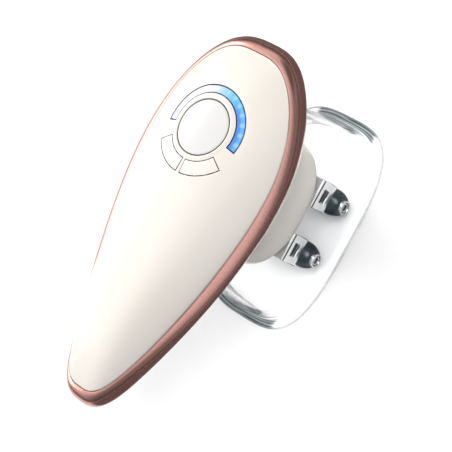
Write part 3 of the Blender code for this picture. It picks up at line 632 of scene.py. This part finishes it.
# %% Carriers
ROLLER_X, ROLLER_Z, DRUM_R = 16.0, 9.5, 7.3
DRUM_IN, DRUM_OUT = 3.8, 27.8
carriers = []
for side, tag in ((1, "front"), (-1, "rear")):
    x = NECK_X + side * ROLLER_X
    bm = brick(x - 8, x + 8, -24, 24, NECK_FLOOR - 3.4, NECK_FLOOR - GAP)
    for s in (1, -1):
        y0, y1 = sorted((s * 21.8, s * 24.0))
        join(bm, brick(x - 8, x + 8, y0, y1, ROLLER_Z + DRUM_R + 0.4, NECK_FLOOR - 1.2))
    join(bm, brick(x - 5.5, x + 5.5, -3.4, 3.4, ROLLER_Z - 4.0, NECK_FLOOR - 1.2))
    frame_piece = finish_piece("carrier_%s_frame" % tag, bm, "housing", "roller_carrier_" + tag)
    tool = brick(x - 3.6, x + 3.6, -29, -9, 21.0, 26.0)
    join(tool, brick(x - 3.6, x + 3.6, 9, 29, 21.0, 26.0))
    join(tool, spun([(0, -10), (1.8, -10), (1.8, 10), (0, 10)], 32, "Y", (x, 0, ROLLER_Z)))
    bmesh.ops.remove_doubles(tool, verts=tool.verts, dist=0.0008)
    carve(frame_piece, tool)
    frame_piece.data.set_sharp_from_angle(angle=math.radians(38))
    carriers.append(round_edges(frame_piece, 0.45, 3, 40))

# %% Rollers and hub rings
rollers, hubs = [], []
for side, tag in ((1, "front"), (-1, "rear")):
    for s, hand in ((1, "left"), (-1, "right")):
        at = (NECK_X + side * ROLLER_X, 0, ROLLER_Z)
        lo, hi, r = DRUM_IN, DRUM_OUT, DRUM_R
        line = [(1.8, lo), (r - 1.3, lo), (r - 0.8, lo + 0.15), (r - 0.4, lo + 0.5),
                (r - 0.12, lo + 1.2), (r, lo + 2.2), (r, lo + 6), (r, hi - 7.2), (r, hi - 6.3),
                (r - 0.12, hi - 5.2), (r - 0.38, hi - 4.1), (r - 0.8, hi - 2.9),
                (r - 1.35, hi - 1.7), (r - 1.9, hi - 0.8), (r - 2.35, hi - 0.2), (r - 2.7, hi),
                (1.8, hi)]
        bm = spun([(q, s * y) for q, y in line], 72, "Y", at, True)
        name = "drum_%s_%s" % (tag, hand)
        rollers.append(finish_piece("roller_%s_%s" % (tag, hand), bm, name + "_body", name))
        c = hi + GAP
        line = [(1.8, c), (4.0, c), (4.0, c + 1.0), (3.85, c + 1.3), (3.6, c + 1.4),
                (3.25, c + 1.4), (3.1, c + 1.2), (2.95, c + 0.55), (2.6, c + 0.55),
                (2.5, c + 1.0), (2.35, c + 1.15), (2.05, c + 1.15), (1.9, c + 1.0),
                (1.8, c + 0.7)]
        bm = spun([(q, s * y) for q, y in line], 64, "Y", at, True)
        hubs.append(finish_piece("hub_ring_%s_%s" % (tag, hand), bm, "housing",
                                 "hub_cap_%s_%s" % (tag, hand), 30.0))

# %% [markdown]
# ## Finishes
# Every finish is built from noise, cells and gradients on the piece's own Object
# coordinates. A small class wraps a node's output, so that shader sums read like sums,
# and one method adds any node. Values that are the same everywhere go straight on the
# shader's sockets.

# %% Shader helpers
class Out:
    """One output socket, with arithmetic."""
    def __init__(self, finish, socket):
        self.finish, self.socket = finish, socket

    def math(self, op, *others, **settings):
        return self.finish.node("ShaderNodeMath", (self, *others), operation=op, **settings)

    def __add__(self, o): return self.math("ADD", o)
    def __sub__(self, o): return self.math("SUBTRACT", o)
    def __mul__(self, o): return self.math("MULTIPLY", o)
    def __rsub__(self, o): return self.finish.node("ShaderNodeMath", (o, self),
                                                   operation="SUBTRACT")
    __radd__, __rmul__ = __add__, __mul__

    def span(self, a, b):
        """Soft 0 to 1 as the value goes from a to b."""
        return self.finish.node("ShaderNodeMapRange", {"Value": self, "From Min": a,
                                                       "From Max": b},
                                interpolation_type="SMOOTHSTEP")


class Finish:
    """A material being built. Keywords set the shader's own sockets."""
    def __init__(self, name, **constants):
        self.mat = bpy.data.materials.new(name)
        self.mat.use_nodes = True
        self.tree = self.mat.node_tree
        self.shader = self.tree.nodes["Principled BSDF"]
        for key, value in constants.items():
            self.shader.inputs[key.replace("_", " ")].default_value = value
        self.place = self.node("ShaderNodeTexCoord", out="Object")
        print("finish", name)

    def node(self, kind, ins=(), out=0, **settings):
        n = self.tree.nodes.new(kind)
        for key, value in settings.items():
            setattr(n, key, value)
        for key, value in (ins.items() if isinstance(ins, dict) else enumerate(ins)):
            if isinstance(value, Out):
                self.tree.links.new(value.socket, n.inputs[key])
            else:
                n.inputs[key].default_value = value
        return Out(self, n.outputs[out])

    def noise(self, scale, detail=3.0, rough=0.5, at=None):
        return self.node("ShaderNodeTexNoise", {"Vector": at or self.place, "Scale": scale,
                                                "Detail": detail, "Roughness": rough})

    def cells(self, scale):
        return self.node("ShaderNodeTexVoronoi", {"Vector": self.place, "Scale": scale}, "Color")

    def blend(self, share, a, b):
        return self.node("ShaderNodeMix", {0: share, 6: a, 7: b}, 2, data_type="RGBA")

    def bump(self, height, strength, distance):
        return self.node("ShaderNodeBump", {"Height": height, "Strength": strength,
                                            "Distance": distance})

    def parts(self, at=None):
        """The x, y and z of a place."""
        sep = self.node("ShaderNodeSeparateXYZ", {"Vector": at or self.place})
        return [Out(self, sep.socket.node.outputs[i]) for i in range(3)]

    def stretched(self, x, y, z):
        return self.node("ShaderNodeMapping", {"Vector": self.place, "Scale": (x, y, z)})

    def feed(self, **links):
        for key, value in links.items():
            self.tree.links.new(value.socket, self.shader.inputs[key.replace("_", " ")])
        return self.mat


def wear(piece, mat, painted_shade_finish=None):
    """Gives a piece its finish; a new piece gets fresh slots: the finish, then the second finish,
    painted shade, if one is given.
    """
    if "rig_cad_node" in piece.keys():
        for s in piece.material_slots:
            s.material = mat
    else:
        piece.data.materials.clear()
        piece.data.materials.append(mat)
        if painted_shade_finish:
            piece.data.materials.append(painted_shade_finish)


def paint_gap_shade_on_sides(piece, below):
    """Puts the second finish, painted gap shade, on steep faces that lie lower than this under the
    dome.
    """
    for f in piece.data.polygons:
        c = f.center * 1000.0
        if abs(f.normal.z) < 0.7 and c.z < dome_z(c.x - 30.0, c.y) + below:
            f.material_index = 1


def rgb(r, g, b):
    return (r, g, b, 1.0)


# %% [markdown]
# ### Pearl paint
# Pearl paint is a white base under a layer of fine mica flakes and a clear top coat. Up
# close each flake tilts a little differently, and over the whole body the tint drifts
# between ivory and beige. Cells far smaller than a millimetre give the flakes, broad
# noise gives the drift, and the coat gives the crisp reflection on top of the soft one.

# %% Pearl paint
def pearl(name, light, warm, rough, coat):
    f = Finish(name, Coat_Weight=coat, Coat_Roughness=0.16, Coat_IOR=1.5,
               Specular_IOR_Level=0.5)
    drift = f.noise(9.0, 2.0, 0.4).span(0.35, 0.7)
    flake = f.parts(f.cells(5200.0))[0]
    tint = f.blend(drift * 0.55 + flake * 0.18, light, warm)
    orange = f.noise(700.0, 1.0)
    return f.feed(Base_Color=tint, Roughness=rough + flake * 0.10 + drift * 0.03,
                  Normal=f.bump(orange * 0.7 + flake * 0.3, 0.05, 0.00004))


PEARL = pearl("pearl paint", rgb(0.70, 0.665, 0.615), rgb(0.665, 0.615, 0.55), 0.28, 0.3)
KEY_PEARL = pearl("key pearl", rgb(0.71, 0.68, 0.635), rgb(0.675, 0.63, 0.57), 0.26, 0.3)
GLOSS = pearl("button gloss", rgb(0.62, 0.615, 0.61), rgb(0.60, 0.59, 0.575), 0.2, 0.4)

# %% [markdown]
# ### Rose plating
# The band is vacuum-plated plastic under a tinted lacquer: a metal whose colour sits
# between rose and brown. Plating keeps the grain of the mould, so its roughness and its
# tint both flicker a little.

# %% Rose plating
f = Finish("rose plating", Coat_Weight=0.12, Coat_Roughness=0.14, Metallic=0.95)
grain = f.noise(2600.0, 2.0, 0.6)
cloud = f.noise(60.0, 3.0)
tint = f.blend(grain.span(0.3, 0.7) * 0.6 + cloud * 0.3, rgb(0.50, 0.235, 0.20),
               rgb(0.68, 0.39, 0.345))
ROSE = f.feed(Base_Color=tint, Roughness=0.15 + grain * 0.08 + cloud * 0.04,
              Normal=f.bump(grain, 0.10, 0.00003))

# %% [markdown]
# ### Light window
# Behind the arc sits a row of diodes. The lens is a frosted clear strip. On one side of
# the head it is off, so it looks lavender white with a faint spot over each diode. On the
# other it is lit: blue glows from behind, deep towards the button and white-hot over each
# diode. The bearing round the button is worked out from the place on the lens.

# %% Light window
f = Finish("light window", Roughness=0.12, Coat_Weight=1.0, Coat_Roughness=0.03, IOR=1.49)
x, y, z = f.parts()
dx, dy = x - (PANEL_X + 30.0) * 0.001, y
bearing = dy.math("ARCTAN2", dx) * 57.29578
radius = (dx * dx + dy * dy).math("SQRT") * 1000.0
lit = bearing.span(34.0, -22.0)
deep = bearing.span(-8.0, -52.0) * (1.0 - radius.span(19.6, 21.6) * 0.75)
step = (bearing * (1 / 14.0)).math("FRACT") - 0.5
spot = (1.0 - (step.math("ABSOLUTE")).span(0.05, 0.33)) * radius.span(19.6, 20.6)
speck = f.noise(900.0, 2.0)
off = f.blend(spot * 0.35 + speck * 0.12, rgb(0.66, 0.63, 0.78), rgb(0.40, 0.36, 0.62))
glow = f.blend(deep, rgb(0.14, 0.60, 0.90), rgb(0.01, 0.13, 0.52))
glow = f.blend(spot * 0.5 * lit, glow, rgb(0.60, 0.88, 1.0))
glow = f.blend(lit, rgb(0, 0, 0), glow)
# Painted shade: the lens's rim and ends are painted near black, and its glow is dimmed there, for
# the dark gap round the lens.
painted_gap_rim = (1.0 - radius.span(18.62, 18.78) * (1.0 - radius.span(22.28, 22.46))) \
    .math("MAXIMUM", bearing.math("ABSOLUTE").span(98.8, 99.4))
glow = f.blend(painted_gap_rim * 0.8, glow, rgb(0.0, 0.01, 0.05))
f.shader.inputs["Emission Strength"].default_value = 0.8
face = f.blend(lit, off, rgb(0.02, 0.10, 0.35))
WINDOW = f.feed(Base_Color=f.blend(painted_gap_rim, face, rgb(0.02, 0.02, 0.05)), Emission_Color=glow,
                Roughness=0.10 + speck * 0.08, Normal=f.bump(speck, 0.08, 0.00004))

# %% [markdown]
# ### Clear acrylic
# A clear wall looks empty where it is seen face on, and dark grey-green where the line of
# sight runs along it, because the light then crosses far more plastic and bends off darker
# surroundings; here that dark is painted. The wall is closed and fully transmitting, and a Mix
# Shader blends it with a dark green-grey where it is seen on edge: a painted dark reflection by
# the angle on the walls, and painted shade by place on the lip, along its outer face, on its
# ledge and under it at the end walls. Faint flow marks from the mould streak the painted dark
# and ripple the surface a little.

# %% Clear acrylic
f = Finish("clear acrylic", Transmission_Weight=1.0, IOR=1.15, Specular_IOR_Level=0.5)
flow = f.noise(34.0, 2.0, 0.4, f.stretched(1.0, 1.0, 2.2))
fine = f.noise(1800.0, 1.0)
slant = f.node("ShaderNodeLayerWeight", {"Blend": 0.5}, 1)
CLEAR = f.feed(Base_Color=f.blend(flow.span(0.3, 0.7), rgb(0.992, 0.998, 0.998),
                                  rgb(0.996, 1.0, 1.0)),
               Roughness=0.008 + fine * 0.02,
               Normal=f.bump(flow, 0.10, 0.0006))
x, y, z = f.parts()
ax, ay = (x - 0.03).math("ABSOLUTE"), y.math("ABSOLUTE")
out = ((ax * (1000.0 / A)).math("POWER", CUP_POWER) +
       (ay * (1000.0 / B)).math("POWER", CUP_POWER)).math("POWER", 1 / CUP_POWER)
lane = f.node("ShaderNodeCombineXYZ", (out * 75.0, y * 22.0, 0.0))
streak = f.noise(1.0, 2.0, 0.55, lane).span(0.40, 0.60)
# Painted shade on the lip: its outer face all round, and at the end walls its ledge and the strip
# under it.
ends = (1.0 - ay.span(0.0185, 0.0225)) * ax.span(0.046, 0.052)
painted_shade_under_lip = (1.0 - z.span(0.0002, 0.0008)) * ends * (0.28 + 0.62 * streak)
edge = z.span(0.0001, 0.0003) * (1.0 - z.span(0.0024, 0.0028)) * out.span(0.972, 0.982) * 0.5
painted_ledge_shade = z.span(0.0019, 0.0023) * (1.0 - z.span(0.0030, 0.0034)) * ends * 0.5
# Painted dark reflection: darker where the wall is seen on edge, fading out high on the cup.
painted_edge_dark = slant.span(0.62, 0.88) * (0.88 - 0.5 * streak) * (1.0 - 0.9 * z.span(0.042, 0.052))
share = painted_edge_dark.math("MAXIMUM", painted_shade_under_lip).math("MAXIMUM", edge).math("MAXIMUM", painted_ledge_shade)
# The dark green-grey shader that carries the painted shade and painted dark reflection.
painted_dark_shader = f.node("ShaderNodeBsdfPrincipled", {"Base Color": rgb(0.030, 0.052, 0.055),
                                            "Roughness": 0.35, "Specular IOR Level": 0.1})
both = f.node("ShaderNodeMixShader", (share, Out(f, f.shader.outputs[0]), painted_dark_shader))
f.tree.links.new(both.socket, f.tree.nodes["Material Output"].inputs["Surface"])

# %% [markdown]
# ### Moulded, turned and plated small parts
# The rollers are dark blue-green plastic with a gloss that turning marks soften. The
# brackets and hub rings are bright plated. Inside parts get the finish of their kind:
# bare steel, fibreglass board, rubber, printed film on the cells, and moulded plastic
# with the fine grain that a spark-eroded mould leaves.

# %% Small parts
def moulded(name, colour, other, rough, grain=2400.0, **more):
    f = Finish(name, **more)
    n, wide = f.noise(grain, 3.0), f.noise(120.0, 2.0)
    return f.feed(Base_Color=f.blend(n * 0.6 + wide * 0.4, colour, other),
                  Roughness=rough + n * 0.12 + wide * 0.05, Normal=f.bump(n, 0.2, 0.00003))


def brushed(name, colour, other, rough, stretch):
    f = Finish(name, Metallic=1.0)
    line = f.noise(900.0, 3.0, 0.6, f.stretched(*stretch))
    smear = f.noise(80.0, 2.0)
    return f.feed(Base_Color=f.blend(line * 0.6 + smear * 0.4, colour, other),
                  Roughness=rough + line * 0.14 + smear * 0.06,
                  Normal=f.bump(line, 0.12, 0.00002))


NAVY = moulded("roller blue", rgb(0.003, 0.011, 0.017), rgb(0.008, 0.026, 0.036), 0.22, 1500.0,
               Coat_Weight=0.35, Coat_Roughness=0.06)
BRACKET = brushed("bright bracket", rgb(0.74, 0.76, 0.77), rgb(0.90, 0.91, 0.92), 0.10,
                  (1, 0.12, 1))
RING = brushed("bright ring", rgb(0.80, 0.83, 0.85), rgb(0.93, 0.94, 0.95), 0.06, (1, 0.2, 1))
STEEL = brushed("bare steel", rgb(0.42, 0.43, 0.45), rgb(0.62, 0.63, 0.65), 0.22, (0.15, 1, 1))
RUBBER = moulded("grey rubber", rgb(0.30, 0.30, 0.32), rgb(0.42, 0.42, 0.43), 0.62)
WHITE = moulded("white moulding", rgb(0.76, 0.76, 0.74), rgb(0.84, 0.84, 0.82), 0.38)
# Painted shade: near black for the slot walls, the shell's inside and the sides of keys and
# button, where the gaps lie in shade.
GAP_SHADE_PAINT = moulded("painted gap shade", rgb(0.05, 0.045, 0.04), rgb(0.09, 0.08, 0.07), 0.5)
SILICONE = moulded("pale silicone", rgb(0.80, 0.77, 0.72), rgb(0.86, 0.83, 0.79), 0.30)
BLACK = moulded("black moulding", rgb(0.018, 0.018, 0.02), rgb(0.04, 0.04, 0.045), 0.42)

f = Finish("fibreglass board", Coat_Weight=0.4, Coat_Roughness=0.2)
x, y, z = f.parts()
lane = ((x * 620.0).math("FRACT") - 0.5).math("ABSOLUTE").math("LESS_THAN", 0.16) * \
    f.noise(90.0, 0.0).math("GREATER_THAN", 0.5)
weave = f.noise(1600.0, 2.0)
BOARD = f.feed(Base_Color=f.blend(lane, f.blend(weave, rgb(0.02, 0.15, 0.07),
                                                rgb(0.04, 0.24, 0.12)),
                                  rgb(0.16, 0.42, 0.22)),
               Roughness=0.35 + weave * 0.2, Normal=f.bump(lane + weave * 0.2, 0.3, 0.00003))

f = Finish("cell film", Coat_Weight=0.7, Coat_Roughness=0.1)
x, y, z = f.parts()
stripe = (x + 0.052).math("ABSOLUTE").math("LESS_THAN", 0.004)
wrinkle = f.noise(200.0, 3.0, 0.6, f.stretched(0.3, 1, 1))
CELL = f.feed(Base_Color=f.blend(stripe, f.blend(wrinkle, rgb(0.03, 0.14, 0.30),
                                                 rgb(0.05, 0.22, 0.42)),
                                 rgb(0.80, 0.80, 0.78)),
              Roughness=0.25 + wrinkle * 0.15, Normal=f.bump(wrinkle, 0.3, 0.00008))

# %% Dress the pieces
# The top shell's slot walls and inside, and the lower sides of the keys and button, take the
# painted gap shade.
wear(top, PEARL, GAP_SHADE_PAINT)
wear(under, PEARL)
for piece in keys:
    wear(piece, KEY_PEARL, GAP_SHADE_PAINT)
    paint_gap_shade_on_sides(piece, 0.15)
wear(button, GLOSS, GAP_SHADE_PAINT)
paint_gap_shade_on_sides(button, -0.3)
wear(band, ROSE)
wear(lens, WINDOW)
wear(clear, CLEAR)
wear(gasket, SILICONE)
for piece in carriers:
    wear(piece, BRACKET)
for piece in rollers:
    wear(piece, NAVY)
for piece in hubs:
    # Painted shade: the bore and the groove of each ring take black, for the shade in these
    # recesses.
    wear(piece, RING, BLACK)
    middle = [sum(v.co[i] for v in piece.data.vertices) / len(piece.data.vertices)
              for i in (0, 2)]
    for face in piece.data.polygons:
        r = math.hypot(face.center.x - middle[0], face.center.z - middle[1]) * 1000.0
        in_bore, in_groove = r < 1.95, 2.6 < r < 3.12
        face.material_index = int(in_bore or in_groove)
INSIDE = {"steel": STEEL, "board_green": BOARD, "grey_rubber": RUBBER, "cell_wrap": CELL,
          "white_plastic": WHITE, "black_plastic": BLACK, "pearl_shell": PEARL,
          "button_white": GLOSS, "rose_band": ROSE, "light_window": WINDOW,
          "clear_cup": CLEAR, "roller_navy": NAVY, "chrome_trim": RING,
          "carrier_chrome": BRACKET}
rows = frame["record"]["subparts"]
for row in rows:
    wear(frame["nodes"][row["node"]], INSIDE[row["material_slot"]])
print("dressed", len(rows), "plain nodes")

# %% [markdown]
# ## Floor, light and camera
# The massager stands on its cup on a white table. A long soft light on the +y side lights
# the dome, and a second one on the head's other side fills the shadow. The second is hidden
# from gloss, so that it isn't mirrored in the band. Polished metal shows its surroundings
# more than its own colour, so the surroundings are shaped as well: a dark card under the
# object that only gloss can see, and a sky with a few dimmer patches, which put the dark
# streaks in the band.

# %% Floor, and a card that only gloss mirrors
def stage_sheet(name, half, steps, height, mat, cut=None):
    """A flat square sheet of the scene that isn't part of the object."""
    bm = bmesh.new()
    bmesh.ops.create_grid(bm, x_segments=steps, y_segments=steps, size=half)
    if cut:
        off = [f for f in bm.faces if cut(f.calc_center_median())]
        bmesh.ops.delete(bm, geom=off, context="FACES")
    bmesh.ops.translate(bm, vec=(0.0, 0.0, height), verts=bm.verts)
    mesh = bpy.data.meshes.new(name)
    bm.to_mesh(mesh)
    bm.free()
    sheet = bpy.data.objects.new(name, mesh)
    bpy.context.scene.collection.objects.link(sheet)
    sheet.data.materials.append(mat)
    print("stage", name, len(mesh.polygons), "faces")
    return sheet


f = Finish("white table", Roughness=0.6, Specular_IOR_Level=0.2)
paint = f.feed(Base_Color=f.blend(f.noise(40.0), rgb(0.90, 0.90, 0.915),
                                  rgb(0.92, 0.92, 0.93)))
stage_sheet("table", 4.0, 2, -0.0003, paint)
f = Finish("card felt")
felt = f.feed(Base_Color=f.blend(f.noise(900.0), rgb(0.10, 0.09, 0.09),
                                 rgb(0.14, 0.125, 0.12)))
card = stage_sheet("dark card", 1.2, 20, -0.0001, felt, lambda p: p.y > 0.0 and p.x < 0.12)
card.visible_camera = card.visible_diffuse = card.visible_shadow = False
card.visible_transmission = False

# %% Sky
world = bpy.data.worlds.new("studio")
bpy.context.scene.world = world
world.use_nodes = True
sky = Finish.__new__(Finish)
sky.tree = world.node_tree
sky.place = sky.node("ShaderNodeTexCoord", out="Generated")
x, y, z = sky.parts()
above = z.span(-0.02, 0.45).math("MAXIMUM", y.span(0.75, 0.97) * 0.9)
strength = 0.26 + 0.40 * z.span(0.75, 1.0) + 0.85 * y.span(-0.5, 0.8) + \
    0.15 * x.span(0.3, 0.9)
behind_tail = 1.0 - 0.5 * x.span(-0.45, -0.95)
low_at_head = 1.0 - 0.75 * (x * 0.82 + y * 0.57).span(0.70, 0.90) * \
    (1.0 - z.span(0.30, 0.52))
high_at_head = 1.0 - 0.8 * (x * 0.763 - y * 0.067 + z * 0.643).span(0.90, 0.97)
level = above * strength * behind_tail * low_at_head * high_at_head + 0.03
background = sky.tree.nodes["Background"]
sky.tree.links.new(level.socket, background.inputs["Strength"])
background.inputs["Color"].default_value = rgb(1.0, 1.0, 1.0)
print("sky", len(sky.tree.nodes), "nodes")


# %% Soft lights
def softbox(name, at, look, size, power):
    data = bpy.data.lights.new(name, "AREA")
    data.shape, data.size, data.size_y = "RECTANGLE", *size
    data.energy = power
    ob = bpy.data.objects.new(name, data)
    ob.location = at
    ob.rotation_euler = (Vector(look) - Vector(at)).to_track_quat("-Z", "Y").to_euler()
    bpy.context.scene.collection.objects.link(ob)
    print("light", name, power, "W")
    return ob


softbox("left", (-0.12, 1.5, 1.0), (0, 0, 0.05), (2.0, 1.0), 18.5)
overhead = softbox("overhead", (0.46, -0.6, 1.6), (0, 0, 0.0), (1.1, 1.1), 22.0)
overhead.visible_glossy = False

# %% Camera
# The three vectors are the camera's own axes: to its right, up, and back towards the viewer.
eye = bpy.data.cameras.new("camera")
eye.sensor_width, eye.angle = 36.0, math.radians(16.0)
camera = bpy.data.objects.new("camera", eye)
right = Vector((0.47590583, -0.70409412, -0.52703426))
up = Vector((0.87806231, 0.41457757, 0.23902305))
back = Vector((0.05020186, -0.57652138, 0.81553839))
turn = Matrix((right, up, back)).transposed().to_4x4()
camera.matrix_world = Matrix.Translation((0.0516381, -0.4845981, 0.7409941)) @ turn
bpy.context.scene.collection.objects.link(camera)
bpy.context.scene.camera = camera
bpy.context.scene.view_settings.view_transform = "Standard"
print("camera", [round(v, 4) for v in camera.matrix_world.translation])
